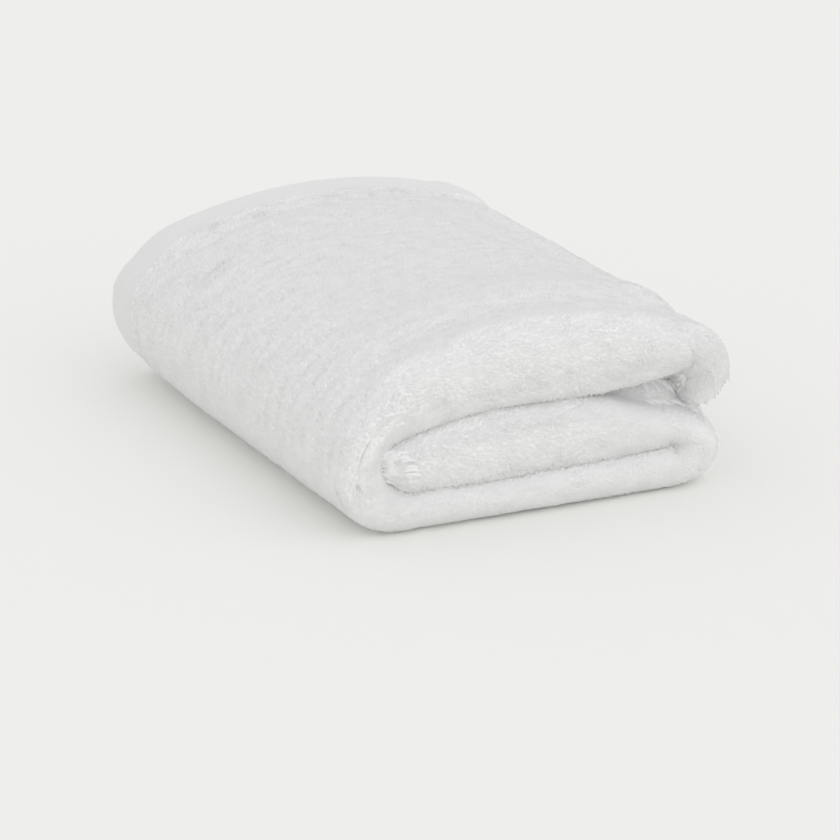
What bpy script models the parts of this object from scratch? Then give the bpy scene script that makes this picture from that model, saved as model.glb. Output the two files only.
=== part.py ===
"""A plush hand towel, folded for the shelf.

The towel is one cloth. Its grid is laid out flat, and each point is carried through two
folds and then let settle:

quarter  The length is folded in half and in half again. That gives a strip of four plies,
         with a round spine at the front (-Y) and both hems at the back (+Y).
letter   The strip is folded in three. One selvedge end is tucked inside at the left, the
         strip turns at the right, runs underneath, wraps round the left side and comes
         back over the top, where its other end hangs down over the turn.
settle   The plies relax: the rolls at the front fill out, a hollow opens under the top
         fold, and the top crowns and ripples.

Metres, +Z up. The towel lies on z = 0, centred on the origin in X and Y.
"""

import functools
import math

import bmesh
import bpy
import numpy as np
from mathutils import Vector

NAME = "hand_towel"
MM = 0.001

# The cloth, cut and hemmed.
FLAT_LENGTH = 1000 * MM
FLAT_WIDTH = 500 * MM
CLOTH = 4.6 * MM  # where it lies pressed
THINNEST = 1.6 * MM  # where it is bent or squeezed hard
LOFTY = 6.6 * MM  # where it has the room
BEND_SHARE = 1.4  # how thick it may be in a bend, as a share of the bend's radius
PLY_GAP = 0.6 * MM
FOLD_GAP = 1.2 * MM

# The strip, four plies thick. The inner fold at the spine sits a little behind the outer.
PITCH = CLOTH + PLY_GAP
OUTER_PLY = 1.5 * PITCH
INNER_PLY = 0.5 * PITCH
STRIP = 2 * OUTER_PLY + CLOTH
INSET = 2 * MM

# The three folds of the strip, by the height of the middle of each before it settles.
BOTTOM_FOLD = STRIP / 2
MIDDLE_FOLD = BOTTOM_FOLD + STRIP + FOLD_GAP
TOP_FOLD = MIDDLE_FOLD + STRIP + FOLD_GAP
STACK = TOP_FOLD + STRIP / 2
TURN_RADIUS = (MIDDLE_FOLD - BOTTOM_FOLD) / 2
WRAP_RADIUS = (TOP_FOLD - BOTTOM_FOLD) / 2

# The free end on the top goes on past the turn, bends and hangs. The tips are the heights
# at which its plies end, from the outer one to the inner one, and at the front the front tips.
REACH = 5 * MM
HANG_RADIUS = 14 * MM
HANG_BEND = math.pi / 2 * HANG_RADIUS
HANG_DROP = 10 * MM
HANG_TIPS = (49 * MM, 43 * MM, 40 * MM, 42 * MM)
FRONT_TIPS = (55 * MM, 46 * MM, 40 * MM, 37 * MM)
LEAST_DROP = 2 * MM
OVERHANG = REACH + HANG_BEND + HANG_DROP
PROBE = 0.05 * MM  # a step short enough to measure a slope with

# The end that is tucked inside lies pushed into the hollow that the wrap leaves for it.
HOLLOW_RADIUS = WRAP_RADIUS - STRIP / 2
TUCK = 8 * MM
TUCK_REACH = 40 * MM  # the stretch of it that is moved

# Lengths of the straight runs, from what the bends leave of the cloth.
QUARTER_RUN = (FLAT_LENGTH + 2 * INSET - math.pi * (OUTER_PLY + 2 * INNER_PLY)) / 4
LETTER_RUN = (FLAT_WIDTH - math.pi * (TURN_RADIUS + WRAP_RADIUS) - OVERHANG) / 3

DEPTH = QUARTER_RUN + OUTER_PLY + INNER_PLY + CLOTH
WIDTH = LETTER_RUN + WRAP_RADIUS + REACH + HANG_RADIUS + STRIP
FRONT = -DEPTH / 2
SPINE_Y = FRONT + OUTER_PLY + CLOTH / 2
WRAP_X = -WIDTH / 2 + WRAP_RADIUS + STRIP / 2
TURN_X = WRAP_X + LETTER_RUN
HANG_X = TURN_X + REACH

# Where a quarter is cut, as shares of its length: closest beside the spine.
FROM_SPINE = (0, 0.05, 0.12, 0.21, 0.34, 0.52, 0.74, 1)
TO_SPINE = tuple(1 - share for share in reversed(FROM_SPINE))

# The runs of each path: length, the angle it turns through to the left, and the shares of
# its length at which the grid is cut.
QUARTER_RUNS = (
    (QUARTER_RUN, 0, TO_SPINE),
    (math.pi * OUTER_PLY, math.pi, np.linspace(0, 1, 9)),
    (QUARTER_RUN, 0, FROM_SPINE),
    (math.pi * INNER_PLY, math.pi, np.linspace(0, 1, 7)),
    (QUARTER_RUN - INSET, 0, TO_SPINE),
    (math.pi * INNER_PLY, -math.pi, np.linspace(0, 1, 7)),
    (QUARTER_RUN - INSET, 0, FROM_SPINE),
)
LETTER_RUNS = (
    (LETTER_RUN, 0, (0, 0.035, 0.09, 0.17, 0.28, 0.42, 0.56, 0.7, 0.85, 1)),
    (math.pi * TURN_RADIUS, -math.pi, np.linspace(0, 1, 11)),
    (LETTER_RUN, 0, np.linspace(0, 1, 9)),
    (math.pi * WRAP_RADIUS, -math.pi, np.linspace(0, 1, 13)),
    (LETTER_RUN + REACH, 0, np.linspace(0, 1, 9)),
    (HANG_BEND, 0, np.linspace(0, 1, 7)),  # it bends when the free end is hung
    (HANG_DROP, 0, np.linspace(0, 1, 2)),
)

# Heights to which the folded stack settles, in mm. Each level is a height in the tight
# stack. Its heights are evenly spaced from the left wrap to the right turn.
LEVELS = (
    # level, at the front, halfway, at the back
    (0, (0, 0, 0), (0, 0, 0), (0, 0, 0)),
    (CLOTH, (4.6, 4.6, 4.6), (4.6, 4.6, 4.6), (4.6, 4.6, 4.6)),
    (BOTTOM_FOLD + STRIP / 2, (16.8, 17.2, 19.6), (21.3, 21.8, 20.8), (21.8, 22.8, 20.4)),
    (MIDDLE_FOLD - STRIP / 2, (17.8, 18.2, 20.6), (22.3, 22.8, 22.4), (22.8, 23.8, 21.9)),
    (MIDDLE_FOLD + STRIP / 2, (43.0, 50.0, 46.0, 36.0), (45.0, 47.5, 44.5), (45.0, 48.5, 43.0)),
    (TOP_FOLD - STRIP / 2, (41.5, 48.4, 47.9, 52.0), (46.0, 49.0, 49.0), (46.0, 50.0, 46.5)),
    (STACK, (72.0, 84.5, 73.5), (71.0, 81.0, 72.5), (67.5, 79.5, 73.5)),
)
FRONT_REACH = 100 * MM
BACK_REACH = 80 * MM
WRAP_BLEND = 22 * MM
WRAP_LEAD = 0.1  # the share of the blend that is done where the wrap begins
CROWN = (-1.3, 1.1)  # how far the crown goes on, as a share of the way to the wrap or turn

# The middle fold stays this far below the top fold. Behind the front it swells until it
# meets it, and towards the turn it swells less and less, so there the hollow goes on.
MIDDLE_TOP, TOP_UNDERSIDE = 4, 5  # their rows in LEVELS
SWELL_GAP = 1.2 * MM
SWELL_START = 12 * MM
SWELL_REACH = 14 * MM
SWELL_FADE = (0.5, 1.3)  # as shares of the way from the middle to the turn

# How far the wrap and the turn move to the right at each level, in mm.
SHIFTS = (
    # level, wrap at the front, wrap at the back, turn
    (0, -3, 3, 0),
    (CLOTH, -3, 3, 2),
    (BOTTOM_FOLD + STRIP / 2, -2, 2, -1.5),
    (MIDDLE_FOLD + STRIP / 2, 0, -1, -7),
    (TOP_FOLD - STRIP / 2, 0, -2, 0),
    (STACK, 0, -3, 0),
)
SHIFT_BLEND = 45 * MM
TURN_STRETCH = 1.15

# Soft ridges that run across the top: distance behind the spine, height, spread and how
# far the ridge swings towards the back on its way to the right.
RIDGES = (
    # (distance, height, spread, swing), mm
    (26, -1.6, 8, 10),
    (46, 1.8, 14, 16),
    (214, -1.8, 7, 6),
    (228, 1.2, 10, 6),
)

WHITE_COTTON = (0.80, 0.80, 0.79, 1)


def walk(runs, start, heading, along):
    """(x, y, heading, radius): the point that lies `along` a path, and how it bends there."""
    x, y = start
    radius = math.inf
    for length, turn, _ in runs:
        step = min(along, length)
        radius = length / turn if turn else math.inf
        if turn:
            swept = heading + turn * step / length
            x += radius * (math.sin(swept) - math.sin(heading))
            y -= radius * (math.cos(swept) - math.cos(heading))
            heading = swept
        else:
            x += step * math.cos(heading)
            y += step * math.sin(heading)
        along -= step
        if along <= 0:
            break
    return x, y, heading, abs(radius)


def smooth(share):
    """An even rise from 0 to 1, level at both ends."""
    share = min(max(share, 0), 1)
    return share * share * (3 - 2 * share)


@functools.cache
def curve(columns):
    """The smooth curve through evenly spaced columns, from the left wrap (-1) to the turn (1)."""
    places = np.linspace(-1, 1, len(columns))
    return np.poly1d(np.polyfit(places, columns, len(columns) - 1))


def level_heights(x, y):
    """The settled height of each level at one place."""
    share = (x - WRAP_X) / (TURN_X - WRAP_X) * 2 - 1
    share = min(max(share, CROWN[0]), CROWN[1])
    front = 1 - smooth((y - FRONT) / FRONT_REACH)
    back = smooth((y + FRONT) / BACK_REACH + 1)
    heights = []
    for _, at_front, halfway, at_back in LEVELS:
        height = curve(halfway)(share)
        height += front * (curve(at_front)(share) - height)
        height += back * (curve(at_back)(share) - height)
        heights.append(MM * height)
    fade_from, fade_to = SWELL_FADE
    swell = smooth((y - FRONT - SWELL_START) / SWELL_REACH)
    swell *= 1 - smooth((share - fade_from) / (fade_to - fade_from))
    hollow = heights[TOP_UNDERSIDE] - heights[MIDDLE_TOP] - SWELL_GAP
    heights[MIDDLE_TOP] += swell * hollow if hollow > 0 else hollow
    return heights


def between(places, values, at):
    """The value at a place between the values given at rising or falling places."""
    for i in range(len(places) - 1):
        share = (at - places[i]) / (places[i + 1] - places[i])
        if share <= 1 or i == len(places) - 2:
            return values[i] + share * (values[i + 1] - values[i])


def quarter(along):
    """(y, out, heading, radius): a point of the cloth's length in the strip of four plies."""
    start = (SPINE_Y + QUARTER_RUN, OUTER_PLY)
    return walk(QUARTER_RUNS, start, math.pi, along)


def letter(along, out):
    """(x, z, radius): a point of the strip, `along` it and `out` from its middle."""
    x, z, heading, radius = walk(LETTER_RUNS, (WRAP_X, MIDDLE_FOLD), 0, along)
    if along < TUCK_REACH:
        x -= TUCK * (1 - smooth(along / TUCK_REACH))
        out *= math.sqrt(1 - (max(WRAP_X - x, 0) / HOLLOW_RADIUS) ** 2)
    return x - out * math.sin(heading), z + out * math.cos(heading), radius + out


def ripple(x, y):
    """The ridges on the top, as a height."""
    behind = (y - FRONT) / MM
    share = (x - WRAP_X) / (TURN_X - WRAP_X)
    rise = 0
    for distance, height, spread, swing in RIDGES:
        off = (behind - distance - swing * share) / spread
        rise += height * math.exp(-off * off)
    return rise * MM


def settle(x, y, z):
    """Moves a point of the tight stack to where it comes to rest."""
    tight = [row[0] for row in LEVELS]
    heights = level_heights(min(x, HANG_X), y)
    stepped = between(tight, heights, z)
    # Round the left side the plies pass every level, so they rise there evenly.
    even = between((0, CLOTH, STACK), (0, heights[1], heights[-1]), z)
    wrapped = smooth((WRAP_X - x) / WRAP_BLEND + WRAP_LEAD)
    rest = stepped + (even - stepped) * wrapped
    lifted = smooth((rest - heights[-3]) / (heights[-1] - heights[-3]))
    rest += lifted * ripple(x, y)
    stretch = (TURN_STRETCH - 1) * max(x - TURN_X, 0)
    return x + shift(x, y, z) + (stretch if z < TOP_FOLD - STRIP / 2 else 0), y, rest


def shift(x, y, z):
    """How far a point of the tight stack moves to the right as it settles."""
    tight, at_front, at_back, turn = zip(*SHIFTS, strict=True)
    left = smooth((WRAP_X - x) / SHIFT_BLEND + 1)
    right = smooth((x - TURN_X) / SHIFT_BLEND + 1)
    front, back = between(tight, at_front, z), between(tight, at_back, z)
    wrap = front + smooth((y + FRONT) / BACK_REACH + 1) * (back - front)
    return MM * (left * wrap + right * between(tight, turn, z))


def hang(x, y, z, out):
    """Bends the free end down past the turn, to the height at which its ply ends."""
    over = x - HANG_X
    if over <= 0:
        return x, y, z
    underside, top = level_heights(HANG_X, y)[-2:]
    centre = (underside + top) / 2 - HANG_RADIUS
    angle = min(over, HANG_BEND) / HANG_RADIUS
    plies = (OUTER_PLY, INNER_PLY, -INNER_PLY, -OUTER_PLY)
    front = 1 - smooth((y - FRONT) / FRONT_REACH)
    tip = between(plies, HANG_TIPS, out)
    tip += front * (between(plies, FRONT_TIPS, out) - tip)
    drop = max(over - HANG_BEND, 0) / HANG_DROP * max(centre - tip, LEAST_DROP)
    radius = z - centre
    return HANG_X + radius * math.sin(angle), y, centre + radius * math.cos(angle) - drop


def place(crosswise, y, out):
    """Where a point of the strip comes to rest."""
    x, z, _ = letter(crosswise, out)
    settled = settle(x, y, z)
    if crosswise > FLAT_WIDTH / 2:
        settled = hang(*settled, out)
    return Vector(settled)


def stretches(crosswise, y, out, heading):
    """How far settling stretches the stack: from ply to ply, across the cloth and along it."""
    crosswise = min(crosswise, FLAT_WIDTH - PROBE)
    forward, up = PROBE * math.cos(heading), PROBE * math.sin(heading)
    here = place(crosswise, y, out)
    wide = place(crosswise + PROBE, y, out) - here
    onward = place(crosswise, y + forward, out + up) - here
    next_ply = place(crosswise, y - up, out + forward) - here
    spread = abs(next_ply.dot(wide.cross(onward).normalized()))
    return spread / PROBE, wide.length / PROBE, onward.length / PROBE


def folded(along, crosswise):
    """A point of the flat cloth where it comes to rest, and how thick the cloth is there."""
    y, out, heading, quarter_radius = quarter(along)
    letter_radius = letter(crosswise, out)[2]
    spread, wide, onward = stretches(crosswise, y, out, heading)
    room = PITCH * spread - PLY_GAP
    bend_room = BEND_SHARE * min(quarter_radius * onward**2, letter_radius * wide**2)
    thickness = min(room, bend_room, LOFTY)
    return place(crosswise, y, out), max(thickness, THINNEST)


def cuts(runs):
    """The places along a path where the grid is cut."""
    places = [0]
    for length, _, shares in runs:
        begin = places[-1]
        places += [begin + length * share for share in shares[1:]]
    return places


def folded_cloth():
    """The cloth's middle surface, a flat grid carried through the folds, and how thick it is."""
    wide = cuts(LETTER_RUNS)
    long = cuts(QUARTER_RUNS)
    bm = bmesh.new()
    bmesh.ops.create_grid(
        bm, x_segments=len(wide) - 1, y_segments=len(long) - 1, size=0.5
    )
    thicknesses = []
    for vert in bm.verts:
        column = round((vert.co.x + 0.5) * (len(wide) - 1))
        row = round((vert.co.y + 0.5) * (len(long) - 1))
        vert.co, thickness = folded(long[row], wide[column])
        thicknesses.append(thickness)
    bmesh.ops.triangulate(bm, faces=bm.faces)
    bmesh.ops.recalc_face_normals(bm, faces=bm.faces)
    mesh = bpy.data.meshes.new(NAME)
    bm.to_mesh(mesh)
    bm.free()
    return mesh, thicknesses


def cotton():
    """The material of the cloth."""
    material = bpy.data.materials.new("white_cotton")
    material.use_nodes = True
    shader = material.node_tree.nodes["Principled BSDF"]
    shader.inputs["Base Color"].default_value = WHITE_COTTON
    shader.inputs["Roughness"].default_value = 0.95
    shader.inputs["Metallic"].default_value = 0
    return material


def main():
    for old in list(bpy.data.objects):
        bpy.data.objects.remove(old, do_unlink=True)
    collection = bpy.data.collections.new(NAME)
    bpy.context.scene.collection.children.link(collection)

    mesh, thicknesses = folded_cloth()
    towel = bpy.data.objects.new("towel_cloth", mesh)
    mesh.materials.append(cotton())
    mesh.shade_smooth()
    collection.objects.link(towel)
    group = towel.vertex_groups.new(name="thickness")
    for index, thickness in enumerate(thicknesses):
        group.add([index], thickness / LOFTY, "REPLACE")
    cloth = towel.modifiers.new("cloth", "SOLIDIFY")
    cloth.thickness = LOFTY
    cloth.offset = 0
    cloth.use_even_offset = True
    cloth.vertex_group = group.name


main()
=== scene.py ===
"""A plush white hand towel, folded for the shelf.

The towel is one length of terry. A flat grid of it is carried through two folds and then
settles, in the same way as its solid: the length is quartered into a strip of four plies,
and the strip is folded in three, with one end tucked inside and the other hanging down at
the right. The pile stands as tufts on the faces that show.

Points of the flat cloth are arrays, with how far across it and along it they lie on the
last axis.
"""

import logging
import math
from dataclasses import dataclass, field
from enum import Enum, IntEnum

import bmesh
import bpy
import numpy as np
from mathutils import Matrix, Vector


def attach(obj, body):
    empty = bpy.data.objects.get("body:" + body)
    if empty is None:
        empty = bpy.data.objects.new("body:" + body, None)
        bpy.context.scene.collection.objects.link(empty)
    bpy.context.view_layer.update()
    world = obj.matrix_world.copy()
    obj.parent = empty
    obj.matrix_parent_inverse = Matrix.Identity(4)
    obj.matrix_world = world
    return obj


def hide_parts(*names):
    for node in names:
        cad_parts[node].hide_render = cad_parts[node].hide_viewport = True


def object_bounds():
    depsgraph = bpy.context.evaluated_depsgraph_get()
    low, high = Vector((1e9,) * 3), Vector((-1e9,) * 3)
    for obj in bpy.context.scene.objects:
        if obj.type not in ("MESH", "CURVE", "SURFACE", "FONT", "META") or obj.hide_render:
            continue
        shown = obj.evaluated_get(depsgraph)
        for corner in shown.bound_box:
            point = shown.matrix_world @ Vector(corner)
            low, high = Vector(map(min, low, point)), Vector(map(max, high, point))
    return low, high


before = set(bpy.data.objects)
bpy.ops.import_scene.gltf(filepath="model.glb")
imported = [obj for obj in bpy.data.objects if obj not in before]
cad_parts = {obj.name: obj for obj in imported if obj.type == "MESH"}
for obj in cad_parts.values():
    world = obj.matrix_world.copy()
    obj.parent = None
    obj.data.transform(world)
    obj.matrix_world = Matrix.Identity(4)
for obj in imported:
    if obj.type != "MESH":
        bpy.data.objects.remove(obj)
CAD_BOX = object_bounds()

LOG = logging.getLogger("hand_towel")
MM = 0.001
NODE = "towel_cloth"
BODY = "root"
FLOOR_GAP = 0.1 * MM
FACE = 0.5


class CutEnd(Enum):
    """The two cut ends of the cloth, by the way each faces across it."""

    TUCKED = -1
    HANGING = 1


class Tier(IntEnum):
    """The faces of the plies and folds that settle, by their rows in the table of levels."""

    FLOOR = 0
    FIRST_PLY = 1
    BOTTOM_TOP = 2
    MIDDLE_UNDERSIDE = 3
    MIDDLE_TOP = 4
    TOP_UNDERSIDE = 5
    TOP = 6


def unit(vectors: np.ndarray) -> np.ndarray:
    """The directions of vectors that lie along the last axis."""
    return vectors / np.linalg.norm(vectors, axis=-1, keepdims=True)


def dial(node: bpy.types.Node, settings: dict[str, float | tuple[float, ...]]) -> None:
    """Sets inputs of a shader node by their names."""
    for name, value in settings.items():
        node.inputs[name].default_value = value


def take_mesh(bm: bmesh.types.BMesh, name: str) -> bpy.types.Mesh:
    """Makes a mesh of what was modelled, and frees the model."""
    mesh = bpy.data.meshes.new(name)
    bm.to_mesh(mesh)
    bm.free()
    return mesh


def show(name: str, data: bpy.types.ID) -> bpy.types.Object:
    """Puts a mesh, a lamp or a camera in the scene."""
    shown = bpy.data.objects.new(name, data)
    bpy.context.scene.collection.objects.link(shown)
    return shown


@dataclass(frozen=True)
class Run:
    """One run of a path: its length and the angle it turns through to the left."""

    length: float
    turn: float = 0.0


@dataclass(frozen=True)
class Path:
    """A line of runs and bends in a plane."""

    start: tuple[float, float]
    heading: float
    runs: tuple[Run, ...]

    def at(self, along: np.ndarray) -> tuple[np.ndarray, ...]:
        """Walks the path.

        Args:
            along: distances from the start.

        Returns:
            x, y, the heading and the radius of the bend, each shaped like along.
        """
        left = np.array(along, float)
        x = np.full(left.shape, self.start[0])
        y = np.full(left.shape, self.start[1])
        heading = np.full(left.shape, self.heading)
        radius = np.full(left.shape, math.inf)
        for run in self.runs:
            step = np.clip(left, 0, run.length)
            if run.turn:
                bend = run.length / run.turn
                swept = heading + run.turn * step / run.length
                x = x + bend * (np.sin(swept) - np.sin(heading))
                y = y - bend * (np.cos(swept) - np.cos(heading))
                heading = swept
                radius = np.where((left > 0) & (left <= run.length), abs(bend), radius)
            else:
                x = x + step * np.cos(heading)
                y = y + step * np.sin(heading)
            left = left - step
        return x, y, heading, radius


def smooth(share: np.ndarray) -> np.ndarray:
    """An even rise from 0 to 1, level at both ends."""
    share = np.clip(share, 0, 1)
    return share * share * (3 - 2 * share)


def blend_at(places: list[float], values: list[np.ndarray], at: np.ndarray) -> np.ndarray:
    """Blends evenly between values given at rising places.

    Args:
        places: the places, lowest first.
        values: the value at each place.
        at: where the value is wanted.

    Returns:
        The values there, held beyond the first and last place.
    """
    result = values[0]
    for low, high, before, after in zip(places, places[1:], values, values[1:]):
        result = result + (after - before) * np.clip((at - low) / (high - low), 0, 1)
    return result


@dataclass(frozen=True)
class Waves:
    """A smooth random field on the flat cloth, about as strong as a normal variate."""

    seed: int
    width: float
    stretch: float = 1.0
    count: int = 28
    widths: tuple[float, float] = (0.7, 1.6)

    def at(self, flat: np.ndarray) -> np.ndarray:
        """Adds up waves of many directions.

        Args:
            flat: points of the flat cloth.

        Returns:
            The field there.
        """
        across, along = flat[..., 0], flat[..., 1]
        rng = np.random.default_rng(self.seed)
        total = np.zeros(across.shape)
        for _ in range(self.count):
            angle = rng.uniform(0, 2 * math.pi)
            pitch = self.width * rng.uniform(*self.widths)
            phase = rng.uniform(0, 2 * math.pi)
            reach = 2 * math.pi / pitch
            total += np.cos(
                reach * (np.cos(angle) * across / self.stretch + np.sin(angle) * along) + phase
            )
        return total * math.sqrt(2 / self.count)


@dataclass(frozen=True)
class Cloth:
    """The cloth as it was cut, and how thick it lies."""

    width: float = 500 * MM
    length: float = 1000 * MM
    pressed: float = 4.6 * MM
    thinnest: float = 1.6 * MM
    full: float = 6.6 * MM
    bend_share: float = 1.4
    ply_gap: float = 0.6 * MM
    fold_gap: float = 1.2 * MM
    hem: float = 22 * MM

    @property
    def pitch(self) -> float:
        """The distance from ply to ply in the tight stack."""
        return self.pressed + self.ply_gap

    @property
    def outer_ply(self) -> float:
        """How far the outer plies lie from the middle of the strip."""
        return 1.5 * self.pitch

    @property
    def inner_ply(self) -> float:
        """How far the inner plies lie from the middle of the strip."""
        return 0.5 * self.pitch

    @property
    def strip(self) -> float:
        """The thickness of the strip of four plies."""
        return 2 * self.outer_ply + self.pressed


@dataclass(frozen=True)
class Level:
    """The heights at which a tier settles, in mm, each row from the left to the right."""

    front: tuple[float, ...]
    halfway: tuple[float, ...]
    back: tuple[float, ...]


@dataclass(frozen=True)
class Slip:
    """How far the wrap and the turn move to the right at a tier, in mm."""

    tier: Tier
    wrap_front: float
    wrap_back: float
    turn: float


@dataclass(frozen=True)
class Ridge:
    """A soft ridge across the top: distance behind the spine, height, spread, swing, in mm."""

    distance: float
    height: float
    spread: float
    swing: float


@dataclass(frozen=True)
class HangingEnd:
    """The free end of the strip, which goes on past the turn, bends and hangs."""

    reach: float = 5 * MM
    radius: float = 14 * MM
    drop: float = 10 * MM
    least_drop: float = 2 * MM
    tips: tuple[float, ...] = (42 * MM, 40 * MM, 43 * MM, 49 * MM)
    front_tips: tuple[float, ...] = (37 * MM, 40 * MM, 46 * MM, 55 * MM)

    @property
    def bend(self) -> float:
        """The length of the bend."""
        return math.pi / 2 * self.radius

    @property
    def length(self) -> float:
        """The whole length of the end."""
        return self.reach + self.bend + self.drop


@dataclass(frozen=True)
class FoldedTowel:
    """Carries points of the flat cloth through both folds to where they come to rest."""

    cloth: Cloth = Cloth()
    end: HangingEnd = HangingEnd()
    inset: float = 2 * MM
    front_reach: float = 100 * MM
    back_reach: float = 80 * MM
    wrap_blend: float = 22 * MM
    wrap_lead: float = 0.1
    slip_blend: float = 45 * MM
    turn_stretch: float = 1.15
    crown: tuple[float, float] = (-1.3, 1.1)
    swell_start: float = 12 * MM
    swell_reach: float = 14 * MM
    swell_fade: tuple[float, float] = (0.5, 2.4)
    swell_gap: float = 0.4 * MM
    probe: float = 0.05 * MM
    tuck: float = 10 * MM
    tuck_reach: float = 40 * MM
    ridges: tuple[Ridge, ...] = (
        Ridge(26, -1.6, 8, 10),
        Ridge(46, 1.8, 14, 16),
        Ridge(214, -1.8, 7, 6),
        Ridge(228, 1.2, 10, 6),
    )
    levels: tuple[Level, ...] = (
        Level((0, 0, 0), (0, 0, 0), (0, 0, 0)),
        Level((4.6, 4.6, 4.6), (4.6, 4.6, 4.6), (4.6, 4.6, 4.6)),
        Level((16.8, 17.2, 19.6), (21.3, 21.8, 20.8), (21.8, 22.8, 20.4)),
        Level((17.2, 17.6, 20.0), (22.3, 22.8, 22.4), (22.8, 23.8, 21.9)),
        Level((43.0, 50.0, 46.0, 36.0), (45.0, 47.5, 44.5), (45.0, 48.5, 43.0)),
        Level((41.5, 48.4, 47.9, 52.0), (46.0, 49.0, 49.0), (46.0, 50.0, 46.5)),
        Level((72.0, 84.5, 73.5), (71.0, 81.0, 72.5), (67.5, 79.5, 73.5)),
    )
    slips: tuple[Slip, ...] = (
        Slip(Tier.FLOOR, -3, 3, 0),
        Slip(Tier.FIRST_PLY, -3, 3, 2),
        Slip(Tier.BOTTOM_TOP, -2, 2, -1.5),
        Slip(Tier.MIDDLE_TOP, 0, -1, -7),
        Slip(Tier.TOP_UNDERSIDE, 0, -2, 0),
        Slip(Tier.TOP, 0, -3, 0),
    )

    @property
    def bottom_fold(self) -> float:
        """The height of the middle of the bottom fold in the tight stack."""
        return self.cloth.strip / 2

    @property
    def middle_fold(self) -> float:
        """The height of the middle of the middle fold in the tight stack."""
        return self.bottom_fold + self.cloth.strip + self.cloth.fold_gap

    @property
    def top_fold(self) -> float:
        """The height of the middle of the top fold in the tight stack."""
        return self.middle_fold + self.cloth.strip + self.cloth.fold_gap

    @property
    def turn_radius(self) -> float:
        """The radius of the middle of the strip in the turn at the right."""
        return (self.middle_fold - self.bottom_fold) / 2

    @property
    def wrap_radius(self) -> float:
        """The radius of the middle of the strip in the wrap at the left."""
        return (self.top_fold - self.bottom_fold) / 2

    @property
    def hollow_radius(self) -> float:
        """The radius of the hollow that the wrap leaves for the tucked end."""
        return self.wrap_radius - self.cloth.strip / 2

    @property
    def quarter_run(self) -> float:
        """The length of a straight quarter of the cloth."""
        bends = math.pi * (self.cloth.outer_ply + 2 * self.cloth.inner_ply)
        return (self.cloth.length + 2 * self.inset - bends) / 4

    @property
    def letter_run(self) -> float:
        """The length of a straight third of the strip."""
        bends = math.pi * (self.turn_radius + self.wrap_radius)
        return (self.cloth.width - bends - self.end.length) / 3

    @property
    def front(self) -> float:
        """Where the towel begins at the front."""
        depth = self.quarter_run + self.cloth.outer_ply + self.cloth.inner_ply
        return -(depth + self.cloth.pressed) / 2

    @property
    def wrap_x(self) -> float:
        """Where the straight folds end at the left."""
        width = self.letter_run + self.wrap_radius + self.end.reach + self.end.radius
        return -(width + self.cloth.strip) / 2 + self.wrap_radius + self.cloth.strip / 2

    @property
    def turn_x(self) -> float:
        """Where the straight folds end at the right."""
        return self.wrap_x + self.letter_run

    @property
    def hang_x(self) -> float:
        """Where the free end begins to bend."""
        return self.turn_x + self.end.reach

    @property
    def tight(self) -> list[float]:
        """The height of each tier in the tight stack."""
        half = self.cloth.strip / 2
        middle = [self.middle_fold - half, self.middle_fold + half]
        top = [self.top_fold - half, self.top_fold + half]
        return [0, self.cloth.pressed, self.bottom_fold + half, *middle, *top]

    @property
    def quarter_path(self) -> Path:
        """The way of the cloth's length through the strip, in y and out."""
        outer, inner = self.cloth.outer_ply, self.cloth.inner_ply
        spine_y = self.front + outer + self.cloth.pressed / 2
        short = self.quarter_run - self.inset
        return Path(
            (spine_y + self.quarter_run, outer),
            math.pi,
            (
                Run(self.quarter_run),
                Run(math.pi * outer, math.pi),
                Run(self.quarter_run),
                Run(math.pi * inner, math.pi),
                Run(short),
                Run(math.pi * inner, -math.pi),
                Run(short),
            ),
        )

    @property
    def letter_path(self) -> Path:
        """The way of the strip's middle through the letter fold, in x and z."""
        return Path(
            (self.wrap_x, self.middle_fold),
            0,
            (
                Run(self.letter_run),
                Run(math.pi * self.turn_radius, -math.pi),
                Run(self.letter_run),
                Run(math.pi * self.wrap_radius, -math.pi),
                Run(self.letter_run + self.end.length),
            ),
        )

    def level_heights(self, x: np.ndarray, y: np.ndarray) -> list[np.ndarray]:
        """Finds the settled height of each tier at some places.

        Args:
            x: the places across the towel.
            y: the places along its depth.

        Returns:
            One array of heights for each tier.
        """
        share = (x - self.wrap_x) / (self.turn_x - self.wrap_x) * 2 - 1
        share = np.clip(share, *self.crown)
        front = 1 - smooth((y - self.front) / self.front_reach)
        back = smooth((y + self.front) / self.back_reach + 1)

        def across(columns: tuple[float, ...]) -> np.ndarray:
            """The height across the towel: a smooth curve through evenly spaced columns."""
            places = np.linspace(-1, 1, len(columns))
            return np.polyval(np.polyfit(places, columns, len(columns) - 1), share)

        heights = []
        for level in self.levels:
            height = across(level.halfway)
            height = height + front * (across(level.front) - height)
            height = height + back * (across(level.back) - height)
            heights.append(MM * height)
        fade_from, fade_to = self.swell_fade
        swell = smooth((y - self.front - self.swell_start) / self.swell_reach)
        swell = swell * (1 - smooth((share - fade_from) / (fade_to - fade_from)))
        room = heights[Tier.TOP_UNDERSIDE] - heights[Tier.MIDDLE_TOP] - self.swell_gap
        heights[Tier.MIDDLE_TOP] += np.where(room > 0, swell * room, room)
        return heights

    def ripple(self, x: np.ndarray, y: np.ndarray) -> np.ndarray:
        """The ridges on the top, as a height."""
        behind = (y - self.front) / MM
        share = (x - self.wrap_x) / (self.turn_x - self.wrap_x)
        rise = 0
        for ridge in self.ridges:
            off = (behind - ridge.distance - ridge.swing * share) / ridge.spread
            rise = rise + ridge.height * np.exp(-off * off)
        return rise * MM

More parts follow.
